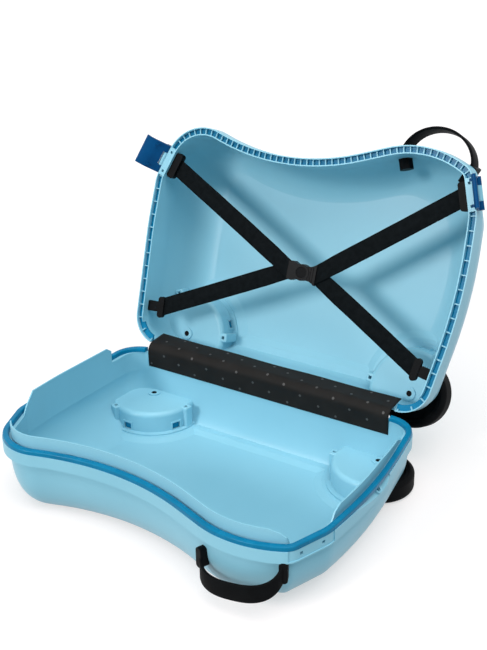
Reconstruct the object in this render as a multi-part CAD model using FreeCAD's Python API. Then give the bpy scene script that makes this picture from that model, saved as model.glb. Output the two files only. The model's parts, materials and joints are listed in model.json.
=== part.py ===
import FreeCAD
import Part
import math
import os
from FreeCAD import Vector

os.makedirs("parts", exist_ok=True)

# Ride-on suitcase lying open on its base, with the lid leaning back on its hinge.
# Each half is drawn in its own frame: x along the hinge, s away from the hinge and d from the rim into the half.

# Case in millimetres
CASE_DEPTH = 104.0
WALL = 2.4
HINGE_Y = 175.0
OPEN_ANGLE = 110.9

# Outline corners seen from inside: x, s, rounding at the rim, rounding at the floor
OUTLINE = [
    (228.0, 3.0, 42.0, 34.0),
    (254.0, 165.0, 700.0, 250.0),
    (246.8, 274.0, 60.0, 40.0),
    (227.5, 329.3, 25.0, 34.0),
    (161.0, 359.0, 140.0, 70.0),
    (-39.3, 285.2, 340.0, 320.0),
    (-211.0, 340.1, 62.0, 20.0),
    (-246.0, 244.0, 40.0, 30.0),
    (-246.5, 175.0, 600.0, 400.0),
    (-236.5, 3.0, 42.0, 34.0),
]
FRONT_LATCH_EDGE = 2
REAR_LATCH_EDGE = 6
HINGE_EDGE = 9

# Rim band, the step below it on each outline edge, and how far each wall then rounds in to the floor
BAND = 22.5
STEP_SLOPE = 5.0
STEP = [6.0, 6.0, 8.0, 8.0, 8.0, 8.0, 9.0, 9.0, 8.0, 1.0]
CURVE_START = 36.0
CURVE = [60.0, 60.0, 70.0, 76.0, 42.0, 42.0, 56.0, 56.0, 56.0, 16.0]

# Raised strip of the floor along the hinge and round the wheels
PANEL_RISE = 3.5
PANEL_EDGE = 28.0
PANEL_SLOPE = 10.0
PANEL_RADIUS = 75.0

# Rim of the base: ledge, seal bead, and the upstand as places along it with its height above the rim
LEDGE = 6.5
RIM_GAP = 0.4
SEAL_EDGE = 0.8
SEAL_WIDTH = 8.0
SEAL_ROUND = 2.2
UPSTAND_INSET = 11.6
UPSTAND_WALL = 1.8
UPSTAND_ROOT = 4.0
FRONT_UPSTAND = ((46.0, -LEDGE), (62.0, 1.5), (130.0, 9.5), (236.0, 9.5), (247.0, 4.0), (254.0, -LEDGE))
REAR_UPSTAND = ((64.5, -LEDGE), (64.5, 12.0), (73.0, 18.5), (225.0, 20.0), (241.0, 2.5), (249.0, -LEDGE))
SADDLE_UPSTAND = ((-217.0, -LEDGE), (-211.0, 14.5), (197.0, 14.5), (209.0, 10.0), (216.0, 4.0), (218.0, -LEDGE))
SADDLE_UPSTAND_S = 270.0

# Scoop under the bead at the front end: its outline on the wall, and the eyelet on its sloping shelf
SCOOP_CORNER = 1
SCOOP_EDGE = ((54.0, 5.0), (54.0, 8.5), (18.0, 14.0), (-14.0, 18.5), (-30.0, 18.0), (-39.0, 12.0), (-39.0, 5.0))
SCOOP_DEPTH = 9.5
EYELET = (-8.0, -4.6, -13.0)
EYELET_RADIUS = 5.6
EYELET_HOLE = 3.4

# Rim of the lid: two lips with a ribbed groove between them and a strip at the bottom of the groove
LIP = 1.5
GROOVE_WIDTH = 8.0
GROOVE_DEPTH = 9.0
STRIP_HEIGHT = 2.8
RIB_PITCH = 9.5
RIB_WALL = 1.4
RIB_TOP = 3.0
RIB_HEIGHT = 3.0
LID_RIM_INSET = 2.0 * LIP + GROOVE_WIDTH

# Wheels and the drums that house them
WHEEL_X = (180.0, -187.0)
WHEEL_S = 20.0
WHEEL_RADIUS = 48.5
WHEEL_WIDTH = 28.9
WHEEL_EDGE = 7.0
FLOOR_GAP = 0.6
TREAD = 7.0
HUB_RADIUS = 12.0
AXLE_RADIUS = 4.0
RUNNING_GAP = 0.05
CAP_RADIUS = 8.6
DRUM_GAP = 11.5
DRUM_HEIGHT = 38.0
DRUM_EDGE = 7.0
WELL_EDGE = 4.0
FOOT_WIDTH = 9.5
FOOT_HEIGHT = 8.0
BOSS_RADIUS = 8.8
BOSS_HEIGHT = 1.8
POST = (14.5, 13.0)
POST_ANGLES = ((173.3, 64.2), (6.7, 115.8))
POST_HOLE = 4.5
POST_HOLE_DEPTH = 15.0
WINDOW = (12.0, 10.0)
WINDOW_ANGLES = ((155.0, 88.0), (25.0, 92.0))
WINDOW_FRAME = 2.0
WINDOW_LIFT = 9.0
HOUSING_WALL = 2.4
HOUSING_GAP = 1.2

# Hinge
PIN_RADIUS = 1.5
BARREL_RADIUS = 3.4
BARREL_LENGTH = 18.0
BARREL_GAP = 0.4
BARREL_WEB = (2.0, 18.0)
HINGE_X = (-125.0, 0.0, 125.0)
HINGE_WALL = STEP[HINGE_EDGE] + WALL

# Latches on the lid: name, outline edge, share along it, angle at which the lever stands open
LATCHES = (("front", FRONT_LATCH_EDGE, 0.46, 8.0), ("rear", REAR_LATCH_EDGE, 0.74, 48.0))
LEVER_WIDTH = 43.0
LEVER_LENGTH = 29.0
LEVER_WALL = 3.6
LEVER_GAP = 1.0
LEVER_FLARE = 3.4
GRIP_RADIUS = 2.6
PIVOT_OUT = 5.2
PIVOT_DEPTH = 4.0
KNUCKLE_RADIUS = 4.2
KNUCKLE_LENGTH = 20.0
LATCH_PIN_RADIUS = 1.5
STUD = 3.6
STUD_X = 16.5
STUD_DEPTH = 12.0
STUD_GAP = 0.4
RECESS = 1.2
RECESS_REACH = 34.0
RECESS_DROP = 14.0
BRIDGE_HOLE = 3.5
BRIDGE_HOLE_X = 15.0

# Luggage straps in the lid
WEB_WIDTH = 25.0
WEB_WALL = 1.6
WEB_DEPTH = 11.0
WEB_STEP = 0.8
WEB_GAP = 0.3
ANCHOR = (38.0, 12.0, 9.0)
ANCHOR_HOLD = 6.5
HOOKS = (("front", 0, 0.33), ("rear", 8, 0.70))
HOOK = (15.0, 18.0, 5.0)
SLIDER = (31.0, 10.0, 6.4)
UPPER_DEPTH = WEB_DEPTH - WEB_WALL
LOWER_DEPTH = WEB_DEPTH + WEB_STEP

# Buckle: x, s of its middle, then its sizes
BUCKLE = (13.5, 153.0)
BUCKLE_HALF = 22.0
BUCKLE_HEIGHT = 10.0
BUCKLE_TOP = WEB_DEPTH - 5.0
BUCKLE_RING = 11.5
BUCKLE_WEB_HOLD = 3.0
WEB_SPREAD = 6.0
BUTTON_RADIUS = 8.0
BUTTON_GAP = 0.3
BUTTON_HEIGHT = 4.8
BUTTON_SUNK = 0.6
BUTTON_TRAVEL = 2.0

# Carrying handles: lugs as outline edge, share along it and share of the case depth
HANDLE_WIDTH = 24.0
HANDLE_WALL = 3.6
HANDLE_X = 164.5
HANDLE_S = 331.0
HANDLE_HALF = 53.0
HANDLE_LEAN = 7.5
HANDLE_DEPTH = 0.41 * CASE_DEPTH
LID_HANDLE_REACH = 44.0
BASE_HANDLE_REACH = 25.0
BASE_HANDLE_SAG = 23.4
BASE_HANDLE_LEAN = 8.0
LUGS = ((3, 0.13, -1.0), (4, 0.255, 1.0))
LUG = (10.5, 11.0, 27.5)
LUG_ROUND = 4.5
LUG_EDGE = 1.0
CLIP_RADIUS = 10.0

# Cover over the hinge
COVER_X = (-203.0, 186.0)
COVER_WALL = 1.2
COVER_GAP = 0.1
COVER_DROP = 30.0
COVER_BEND = 10.5
COVER_TOP = 5.5
COVER_END = (30.6, 4.9)

# Sizes that follow from the ones above
WHEEL_OUTER = CASE_DEPTH - FLOOR_GAP
WHEEL_INNER = WHEEL_OUTER - WHEEL_WIDTH
DRUM_RADIUS = WHEEL_RADIUS + DRUM_GAP
DRUM_TOP = CASE_DEPTH - DRUM_HEIGHT
WINDOW_TOP = CASE_DEPTH - WINDOW_LIFT - WINDOW[1]
HINGE_INSIDE = OUTLINE[0][1] + HINGE_WALL


def spot(x, s, d):
    return Vector(x, -s, -d)


def block(x0, x1, s0, s1, d0, d1):
    return Part.makeBox(x1 - x0, s1 - s0, d1 - d0, spot(x0, s1, d1))


def rod(x, s, radius, d0, d1):
    return Part.makeCylinder(radius, d1 - d0, spot(x, s, d1), Vector(0, 0, 1))


def upright_edges(shape):
    return [edge for edge in shape.Edges if edge.BoundBox.ZLength > 0.9 * shape.BoundBox.ZLength]


def top_edges(shape, depth):
    flat = [edge for edge in shape.Edges if edge.BoundBox.ZLength < 0.01]
    return [edge for edge in flat if abs(edge.BoundBox.ZMax + depth) < 0.01]


def rounded_plate(size, y, d, radius):
    # A plate with rounded corners: along x, outward in y from a given line, down from a given depth
    plate = Part.makeBox(size[0], size[1], size[2], Vector(-size[0] / 2, y, -d - size[2]))
    return plate.makeFillet(radius, upright_edges(plate))


def put_base(shape):
    placed = shape.copy()
    placed.translate(Vector(0, HINGE_Y, CASE_DEPTH))
    return placed


def put_lid(shape):
    placed = shape.mirror(Vector(0, 0, 0), Vector(0, 0, 1))
    placed.rotate(Vector(0, 0, 0), Vector(1, 0, 0), -OPEN_ANGLE)
    placed.translate(Vector(0, HINGE_Y, CASE_DEPTH))
    return placed


def save(name, shape):
    shape.exportStep("parts/" + name + ".step")


def edge_ends(index):
    start = OUTLINE[index]
    end = OUTLINE[(index + 1) % len(OUTLINE)]
    return start[0], start[1], end[0], end[1]


def corner_lines(insets):
    lines = []
    for i in range(len(OUTLINE)):
        x0, s0, x1, s1 = edge_ends(i)
        length = math.hypot(x1 - x0, s1 - s0)
        ux = (x1 - x0) / length
        us = (s1 - s0) / length
        lines.append((x0 - us * insets[i], s0 + ux * insets[i], ux, us))
    return lines


def meet(first, second):
    x0, s0, ux, us = first
    x1, s1, vx, vs = second
    along = ((x1 - x0) * vs - (s1 - s0) * vx) / (ux * vs - us * vx)
    return x0 + along * ux, s0 + along * us


def section(depth, insets, blend):
    # One closed outline with rounded corners, at a depth below the rim
    lines = corner_lines(insets)
    count = len(OUTLINE)
    arcs = []
    for i in range(count):
        before = lines[i - 1]
        after = lines[i]
        x, s = meet(before, after)
        left_turn = before[2] * after[3] - before[3] * after[2] > 0
        shrink = (insets[i - 1] + insets[i]) / 2 * (1 if left_turn else -1)
        radius = (OUTLINE[i][2] - shrink) * (1 - blend) + OUTLINE[i][3] * blend
        half = math.acos(before[2] * after[2] + before[3] * after[3]) / 2
        reach = radius * math.tan(half)
        start = (x - before[2] * reach, s - before[3] * reach)
        end = (x + after[2] * reach, s + after[3] * reach)
        mx = (start[0] + end[0]) / 2 - x
        ms = (start[1] + end[1]) / 2 - s
        lift = radius * (1 / math.cos(half) - 1) / math.hypot(mx, ms)
        arcs.append((start, (x + mx * lift, s + ms * lift), end))
    edges = []
    for i in range(count):
        start, middle, end = [spot(p[0], p[1], depth) for p in arcs[i]]
        following = arcs[(i + 1) % count][0]
        edges.append(Part.Arc(start, middle, end).toShape())
        edges.append(Part.LineSegment(end, spot(following[0], following[1], depth)).toShape())
    return Part.Wire(edges)


def even(inset):
    return [inset] * len(OUTLINE)


def prism(inset, d0, d1):
    face = Part.Face(section(d1, even(inset), 0))
    return face.extrude(Vector(0, 0, d1 - d0))


def ring(inset0, inset1, d0, d1):
    return prism(inset0, d0, d1).cut(prism(inset1, d0 - 1, d1 + 1))


def bowl(depth, walls, insets):
    # The lower part of a half: each wall curves in as a quarter ellipse down to the flat floor
    wires = []
    for angle in (0, 22.5, 45, 67.5, 90):
        turn = math.radians(angle)
        blend = 1 - math.cos(turn)
        level = CURVE_START + (depth - CURVE_START) * math.sin(turn)
        spread = [max(wall, inset + curve * blend) for wall, inset, curve in zip(walls, insets, CURVE)]
        wires.append(section(level, spread, blend))
    return Part.makeLoft(wires, True, False)


def panel(floor):
    # Everything below a floor that has a raised strip with sloped edges
    back = -PANEL_RADIUS
    top = floor - PANEL_RISE
    profile = [(back, floor), (PANEL_EDGE + PANEL_SLOPE, floor), (PANEL_EDGE, top), (back, top), (back, floor)]
    face = Part.Face(Part.makePolygon([spot(WHEEL_X[1], s, d) for s, d in profile]))
    strip = face.extrude(Vector(WHEEL_X[0] - WHEEL_X[1], 0, 0))
    rounds = []
    for x in WHEEL_X:
        foot = spot(x, WHEEL_S, floor)
        rounds.append(Part.makeCone(PANEL_RADIUS + PANEL_SLOPE, PANEL_RADIUS, PANEL_RISE, foot, Vector(0, 0, 1)))
    half_length = OUTLINE[1][0]
    ground = block(-half_length, half_length, -half_length, 2 * half_length, floor, floor + PANEL_RISE)
    return strip.multiFuse(rounds + [ground])


def half_outside(top):
    band = prism(0, top, BAND)
    below = section(BAND + STEP_SLOPE, STEP, 0)
    step = Part.makeLoft([section(BAND, even(0), 0), below, section(CURVE_START, STEP, 0)], True, True)
    body = band.multiFuse([step, bowl(CASE_DEPTH, STEP, STEP)])
    return body.cut(panel(CASE_DEPTH)).removeSplitter()


def half_inside(rim_inset):
    rim = even(rim_inset)
    rim[HINGE_EDGE] = HINGE_WALL
    insets = [step + WALL for step in STEP]
    walls = [max(inset, edge) for inset, edge in zip(insets, rim)]
    mouth = Part.Face(section(BAND, rim, 0)).extrude(Vector(0, 0, BAND + CASE_DEPTH))
    neck = Part.makeLoft([section(BAND, rim, 0), section(CURVE_START, walls, 0)], True, True)
    room = mouth.multiFuse([neck, bowl(CASE_DEPTH - WALL, walls, insets)])
    return room.cut(panel(CASE_DEPTH - WALL)).removeSplitter()


def around(x, angle, radius, length, width, d0, d1):
    # A block standing on a circle round a wheel centre
    box = Part.makeBox(length, width, d1 - d0, Vector(radius - length / 2, -width / 2, -d1))
    box.rotate(Vector(0, 0, 0), Vector(0, 0, 1), -angle)
    box.translate(spot(x, WHEEL_S, 0))
    return box


def drum_solid(index):
    # Drum with a rounded top, an axle boss, a foot, two posts and the frames of two windows
    x = WHEEL_X[index]
    drum = rod(x, WHEEL_S, DRUM_RADIUS + WALL, DRUM_TOP, CASE_DEPTH)
    drum = drum.makeFillet(DRUM_EDGE, top_edges(drum, DRUM_TOP))
    pieces = [rod(x, WHEEL_S, BOSS_RADIUS, DRUM_TOP - BOSS_HEIGHT, DRUM_TOP + 1)]
    pieces.append(rod(x, WHEEL_S, DRUM_RADIUS + FOOT_WIDTH, CASE_DEPTH - FOOT_HEIGHT, CASE_DEPTH))
    for angle in POST_ANGLES[index]:
        post = around(x, angle, DRUM_RADIUS + 1, POST[0], POST[1], DRUM_TOP + 0.6, CASE_DEPTH)
        post = post.makeFillet(2, upright_edges(post) + top_edges(post, DRUM_TOP + 0.6))
        pieces.append(post)
    for angle in WINDOW_ANGLES[index]:
        width = WINDOW[0] + 2 * WINDOW_FRAME
        pieces.append(around(x, angle, DRUM_RADIUS + 1, 5, width, WINDOW_TOP - WINDOW_FRAME, CASE_DEPTH))
    return drum.multiFuse(pieces)


def drum_space(index):
    # What is cut from a half at one wheel: the well, the axle hole, the post holes and the windows
    x = WHEEL_X[index]
    well = rod(x, WHEEL_S, DRUM_RADIUS, DRUM_TOP + WALL, CASE_DEPTH + WALL)
    tools = [well.makeFillet(WELL_EDGE, top_edges(well, DRUM_TOP + WALL))]
    tools.append(rod(x, WHEEL_S, AXLE_RADIUS, DRUM_TOP - 2 * BOSS_HEIGHT, CASE_DEPTH))
    for angle in POST_ANGLES[index]:
        bottom = DRUM_TOP + POST_HOLE_DEPTH
        tools.append(around(x, angle, DRUM_RADIUS + WALL, POST_HOLE, POST_HOLE, DRUM_TOP - 1, bottom))
    for angle in WINDOW_ANGLES[index]:
        tools.append(around(x, angle, DRUM_RADIUS + 1, 12, WINDOW[0], WINDOW_TOP, WINDOW_TOP + WINDOW[1]))
    return Part.makeCompound(tools)


def add_drums(shell, outside):
    for index in range(len(WHEEL_X)):
        shell = shell.fuse(drum_solid(index).common(outside))
    for index in range(len(WHEEL_X)):
        shell = shell.cut(drum_space(index))
    return shell


def hinge_barrels(own):
    # Barrels of one half, each with the web that joins it to the hinge wall
    pieces = []
    for x in HINGE_X:
        inner = BARREL_LENGTH / 2
        outer = 3 * inner
        spans = [(x - inner + BARREL_GAP, x + inner - BARREL_GAP)]
        bore = PIN_RADIUS + RUNNING_GAP
        if own == "base":
            spans = [(x - outer, x - inner), (x + inner, x + outer)]
            bore = PIN_RADIUS
        for x0, x1 in spans:
            barrel = Part.makeCylinder(BARREL_RADIUS, x1 - x0, Vector(x0, 0, 0), Vector(1, 0, 0))
            web = block(x0, x1, -0.5, OUTLINE[0][1] + 0.6, BARREL_WEB[0], BARREL_WEB[1])
            hole = Part.makeCylinder(bore, x1 - x0 + 2, Vector(x0 - 1, 0, 0), Vector(1, 0, 0))
            pieces.append(barrel.fuse(web).cut(hole))
    return pieces


def edge_place(shape, index, share):
    # Moves a shape drawn with x along an outline edge and y outward onto that edge
    x0, s0, x1, s1 = edge_ends(index)
    placed = shape.copy()
    placed.rotate(Vector(0, 0, 0), Vector(0, 0, 1), math.degrees(math.atan2(s0 - s1, x1 - x0)))
    placed.translate(spot(x0 + share * (x1 - x0), s0 + share * (s1 - s0), 0))
    return placed


def corner_place(shape, index):
    # Moves a shape drawn with x along the wall and y outward onto the middle of a rounded outline corner
    x0, s0, x, s = edge_ends(index - 1)
    x1, s1 = edge_ends(index)[2:]
    before = math.atan2(s0 - s, x - x0)
    after = math.atan2(s - s1, x1 - x)
    turn = (before + after) / 2
    cut_back = OUTLINE[index][2] * (1 / math.cos((after - before) / 2) - 1)
    placed = shape.copy()
    placed.rotate(Vector(0, 0, 0), Vector(0, 0, 1), math.degrees(turn))
    placed.translate(spot(x, s, 0) + Vector(math.sin(turn), -math.cos(turn), 0) * cut_back)
    return placed


def edge_spot(index, share, out):
    x0, s0, x1, s1 = edge_ends(index)
    length = math.hypot(x1 - x0, s1 - s0)
    x = x0 + share * (x1 - x0) + out * (s1 - s0) / length
    s = s0 + share * (s1 - s0) - out * (x1 - x0) / length
    return x, s


def cross_rod(radius, length, out, depth):
    return Part.makeCylinder(radius, length, Vector(-length / 2, out, -depth), Vector(1, 0, 0))


def extruded(points, direction):
    return Part.Face(Part.makePolygon(points + points[:1])).extrude(direction)


# Base shell with its upstand
base_outside = half_outside(LEDGE)
base = base_outside.cut(half_inside(UPSTAND_INSET + UPSTAND_WALL))
root = LEDGE + UPSTAND_ROOT
upstand_top = max(height for place, height in FRONT_UPSTAND + REAR_UPSTAND + SADDLE_UPSTAND)
upstand = ring(UPSTAND_INSET, UPSTAND_INSET + UPSTAND_WALL, -upstand_top, root)
half_length = OUTLINE[1][0]
for sign, places in ((1, FRONT_UPSTAND), (-1, REAR_UPSTAND)):
    side = [(places[0][0], root)] + [(s, -height) for s, height in places] + [(places[-1][0], root)]
    keep = extruded([spot(0, s, d) for s, d in side], Vector(sign * half_length, 0, 0))
    base = base.fuse(upstand.common(keep))
side = [(SADDLE_UPSTAND[0][0], root)] + [(x, -height) for x, height in SADDLE_UPSTAND] + [(SADDLE_UPSTAND[-1][0], root)]
keep = extruded([spot(x, SADDLE_UPSTAND_S, d) for x, d in side], Vector(0, -SADDLE_UPSTAND_S, 0))
base = base.fuse(upstand.common(keep))
base = add_drums(base, base_outside)

# Catches for the latches: a shallow recess in the band with two square holes
for name, index, share, angle in LATCHES:
    reach = Part.makeBox(2 * RECESS_REACH, 60, RECESS_DROP, Vector(-RECESS_REACH, -30, -LEDGE - RECESS_DROP))
    recess = ring(-1, RECESS, 0, BAND).common(edge_place(reach, index, share))
    base = base.cut(recess)
    hole = STUD + 2 * STUD_GAP
    for x in (-STUD_X, STUD_X):
        catch = Part.makeBox(hole, 8, hole, Vector(x - hole / 2, -5, -STUD_DEPTH - STUD - STUD_GAP))
        base = base.cut(edge_place(catch, index, share))

# Scoop at the front end, pocket for the hinge cover, and hinge barrels
scoop_start = 2.0
scoop_rim = [Vector(x, scoop_start, -d - scoop_start) for x, d in SCOOP_EDGE]
scoop = extruded(scoop_rim, Vector(0, -1, 1) * (SCOOP_DEPTH + scoop_start))
base = base.cut(corner_place(scoop, SCOOP_CORNER))
shelf_normal = Vector(0, 1, 1).normalize()
eyelet_middle = Vector(*EYELET)
eyelet = Part.makeCylinder(EYELET_RADIUS, 3.8, eyelet_middle - shelf_normal * 3, shelf_normal)
eyelet_hole = Part.makeCylinder(EYELET_HOLE, 8, eyelet_middle - shelf_normal * 5.5, shelf_normal)
base = base.fuse(corner_place(eyelet, SCOOP_CORNER)).cut(corner_place(eyelet_hole, SCOOP_CORNER))
pocket = block(COVER_X[0] - 0.6, COVER_X[1] + 0.6, HINGE_INSIDE, HINGE_INSIDE + 3 * COVER_WALL, -5, COVER_DROP + 1)
base = base.cut(pocket)
base = base.multiFuse(hinge_barrels("base")).removeSplitter()
save("base_shell", put_base(base))

# Seal bead on the ledge, left out where the hinge cover passes
seal = ring(SEAL_EDGE, SEAL_EDGE + SEAL_WIDTH, RIM_GAP, LEDGE)
seal = seal.makeFillet(SEAL_ROUND, top_edges(seal, RIM_GAP))
seal = seal.cut(block(COVER_X[0] - 3, COVER_X[1] + 3, -10, 14, -5, 20))
save("base_seal", put_base(seal))


def latch_bridge(grow):
    # Block across the lid groove that carries a latch
    size = (LEVER_WIDTH + 2 * grow, LID_RIM_INSET - 1 + grow, GROOVE_DEPTH + 2)
    return Part.makeBox(size[0], size[1], size[2], Vector(-size[0] / 2, 0.5 - LID_RIM_INSET, -size[2]))


# Lid shell: groove with ribs, more of them along the saddle
lid_outside = half_outside(0)
lid = lid_outside.cut(half_inside(LID_RIM_INSET))
lid = add_drums(lid, lid_outside)
groove = ring(LIP, LIP + GROOVE_WIDTH, -1, GROOVE_DEPTH)
middle = section(0, even(LIP + GROOVE_WIDTH / 2), 0)
points = middle.discretize(int(middle.Length / RIB_PITCH) + 1)
ribs = []
for i in range(len(points) - 1):
    on_saddle = -points[i].y > SADDLE_UPSTAND_S and SADDLE_UPSTAND[0][0] < points[i].x < SADDLE_UPSTAND[-1][0]
    if on_saddle or i % 2 == 0:
        ahead = points[(i + 1) % (len(points) - 1)] - points[i - 1]
        corner = Vector(-RIB_WALL / 2, -GROOVE_WIDTH / 2 - 0.5, -RIB_TOP - RIB_HEIGHT)
        rib = Part.makeBox(RIB_WALL, GROOVE_WIDTH + 1, RIB_HEIGHT, corner)
        rib.rotate(Vector(0, 0, 0), Vector(0, 0, 1), math.degrees(math.atan2(ahead.y, ahead.x)))
        rib.translate(points[i])
        ribs.append(rib)
lid = lid.cut(groove.cut(Part.makeCompound(ribs)))
hinge_slot = block(COVER_X[0] - 4, COVER_X[1] + 4, -5, 16, -5, LEDGE)
lid = lid.cut(hinge_slot)
strip = ring(LIP, LIP + GROOVE_WIDTH, GROOVE_DEPTH - STRIP_HEIGHT, GROOVE_DEPTH)
strip = strip.cut(block(COVER_X[0] - 4, COVER_X[1] + 4, -5, 16, -5, GROOVE_DEPTH + 1))
for name, index, share, angle in LATCHES:
    strip = strip.cut(edge_place(latch_bridge(0.2), index, share))
    knuckle = cross_rod(KNUCKLE_RADIUS, KNUCKLE_LENGTH, PIVOT_OUT, PIVOT_DEPTH)
    foot = Vector(-KNUCKLE_LENGTH / 2, -0.6, -PIVOT_DEPTH - KNUCKLE_RADIUS)
    web = Part.makeBox(KNUCKLE_LENGTH, PIVOT_OUT + 0.6, KNUCKLE_RADIUS, foot)
    body = latch_bridge(0).multiFuse([knuckle, web])
    body = body.cut(cross_rod(LATCH_PIN_RADIUS, KNUCKLE_LENGTH + 2, PIVOT_OUT, PIVOT_DEPTH))
    for x in (-BRIDGE_HOLE_X, BRIDGE_HOLE_X):
        corner = Vector(x - BRIDGE_HOLE / 2, -LID_RIM_INSET / 2 - BRIDGE_HOLE / 2, -GROOVE_DEPTH)
        body = body.cut(Part.makeBox(BRIDGE_HOLE, BRIDGE_HOLE, GROOVE_DEPTH + 1, corner))
    lid = lid.fuse(edge_place(body, index, share))
lid = lid.multiFuse(hinge_barrels("lid")).removeSplitter()
save("lid_shell", put_lid(lid))
save("lid_seal", put_lid(strip))

# Hinge pins with a head at one end, one per set of barrels
pins = []
for x in HINGE_X:
    start = x - 1.5 * BARREL_LENGTH
    pin = Part.makeCylinder(PIN_RADIUS, 3 * BARREL_LENGTH, Vector(start, 0, 0), Vector(1, 0, 0))
    head = Part.makeCylinder(2 * PIN_RADIUS, 1.2, Vector(start - 1.2, 0, 0), Vector(1, 0, 0))
    pins.append(put_base(pin.fuse(head)))
save("hinge_pins", Part.makeCompound(pins))


def wheel_housing(index):
    # Inner cup of a drum, open to the hinge side, with a tab in each window
    x = WHEEL_X[index]
    outer = DRUM_RADIUS - HOUSING_GAP
    top = DRUM_TOP + WALL
    bottom = CASE_DEPTH - FOOT_HEIGHT
    cup = rod(x, WHEEL_S, outer, top, bottom)
    cup = cup.makeFillet(WELL_EDGE, top_edges(cup, top))
    cup = cup.cut(rod(x, WHEEL_S, outer - HOUSING_WALL, top + HOUSING_WALL, CASE_DEPTH))
    cup = cup.cut(block(x - DRUM_RADIUS, x + DRUM_RADIUS, -DRUM_RADIUS, HINGE_INSIDE, DRUM_TOP, CASE_DEPTH))
    cup = cup.fuse(rod(x, WHEEL_S, BOSS_RADIUS, top, WHEEL_INNER - 0.7))
    for angle in WINDOW_ANGLES[index]:
        low = WINDOW_TOP + WINDOW[1] - 1
        cup = cup.fuse(around(x, angle, outer + 0.8, 4, WINDOW[0] - 2, WINDOW_TOP + 1, low))
    return cup.cut(rod(x, WHEEL_S, AXLE_RADIUS, DRUM_TOP, CASE_DEPTH)).common(base_outside)


def wheel_tread(x):
    tread = rod(x, WHEEL_S, WHEEL_RADIUS, WHEEL_INNER, WHEEL_OUTER)
    rims = top_edges(tread, WHEEL_INNER) + top_edges(tread, WHEEL_OUTER)
    tread = tread.makeFillet(WHEEL_EDGE, rims)
    return tread.cut(rod(x, WHEEL_S, WHEEL_RADIUS - TREAD, WHEEL_INNER - 1, WHEEL_OUTER + 1))


def wheel_core(x):
    # Dished disc with a hub, and a seat for the axle cap on its outer face
    rim = WHEEL_RADIUS - TREAD
    core = rod(x, WHEEL_S, rim, WHEEL_INNER + 1.5, WHEEL_OUTER - 1.5)
    dish = rim - 4
    for d0, d1 in ((WHEEL_INNER, WHEEL_INNER + 9), (WHEEL_OUTER - 7, WHEEL_OUTER)):
        core = core.cut(rod(x, WHEEL_S, dish, d0, d1).cut(rod(x, WHEEL_S, HUB_RADIUS + 1, d0 - 1, d1 + 1)))
    core = core.fuse(rod(x, WHEEL_S, HUB_RADIUS, WHEEL_INNER - 0.3, WHEEL_INNER + 3))
    core = core.cut(rod(x, WHEEL_S, AXLE_RADIUS + RUNNING_GAP, WHEEL_INNER - 5, WHEEL_OUTER))
    return core.cut(rod(x, WHEEL_S, CAP_RADIUS + 0.7, WHEEL_OUTER - 4, WHEEL_OUTER + 1))


def wheel_axle(x):
    return rod(x, WHEEL_S, AXLE_RADIUS, DRUM_TOP - BOSS_HEIGHT + 0.6, WHEEL_OUTER - 1.5)


def axle_cap(x):
    cap = rod(x, WHEEL_S, CAP_RADIUS, WHEEL_OUTER - 3.6, WHEEL_OUTER - 0.8)
    return cap.cut(rod(x, WHEEL_S, AXLE_RADIUS, WHEEL_OUTER - 6, WHEEL_OUTER - 1.5))


# Wheels of both halves
for half, put in (("base", put_base), ("lid", put_lid)):
    for index, x in enumerate(WHEEL_X):
        name = half + "_" + ("front", "rear")[index] + "_wheel_"
        save(name + "housing", put(wheel_housing(index)))
        save(name + "tread", put(wheel_tread(x)))
        save(name + "core", put(wheel_core(x)))
        save(name + "axle", put(wheel_axle(x)))
    save(half + "_axle_caps", Part.makeCompound([put(axle_cap(x)) for x in WHEEL_X]))


def lever_plate():
    # Curved plate of a lever, drawn shut: it leaves the pivot straight and flares out to the grip
    bend = LEVER_LENGTH / 2
    sides = []
    for out in (LEVER_GAP, LEVER_GAP + LEVER_WALL):
        low = Vector(0, out, LEVER_GAP)
        knee = Vector(0, out, bend)
        middle = Vector(0, out + LEVER_FLARE / 4, (bend + LEVER_LENGTH) / 2)
        tip = Vector(0, out + LEVER_FLARE, LEVER_LENGTH)
        sides.append((low, knee, middle, tip))
    inner, outer = sides
    edges = [Part.LineSegment(inner[0], inner[1]).toShape(), Part.Arc(inner[1], inner[2], inner[3]).toShape()]
    edges.append(Part.LineSegment(inner[3], outer[3]).toShape())
    edges += [Part.Arc(outer[3], outer[2], outer[1]).toShape(), Part.LineSegment(outer[1], outer[0]).toShape()]
    edges.append(Part.LineSegment(outer[0], inner[0]).toShape())
    plate = Part.Face(Part.Wire(edges)).extrude(Vector(LEVER_WIDTH, 0, 0))
    plate.translate(Vector(-LEVER_WIDTH / 2, 0, 0))
    return plate


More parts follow.
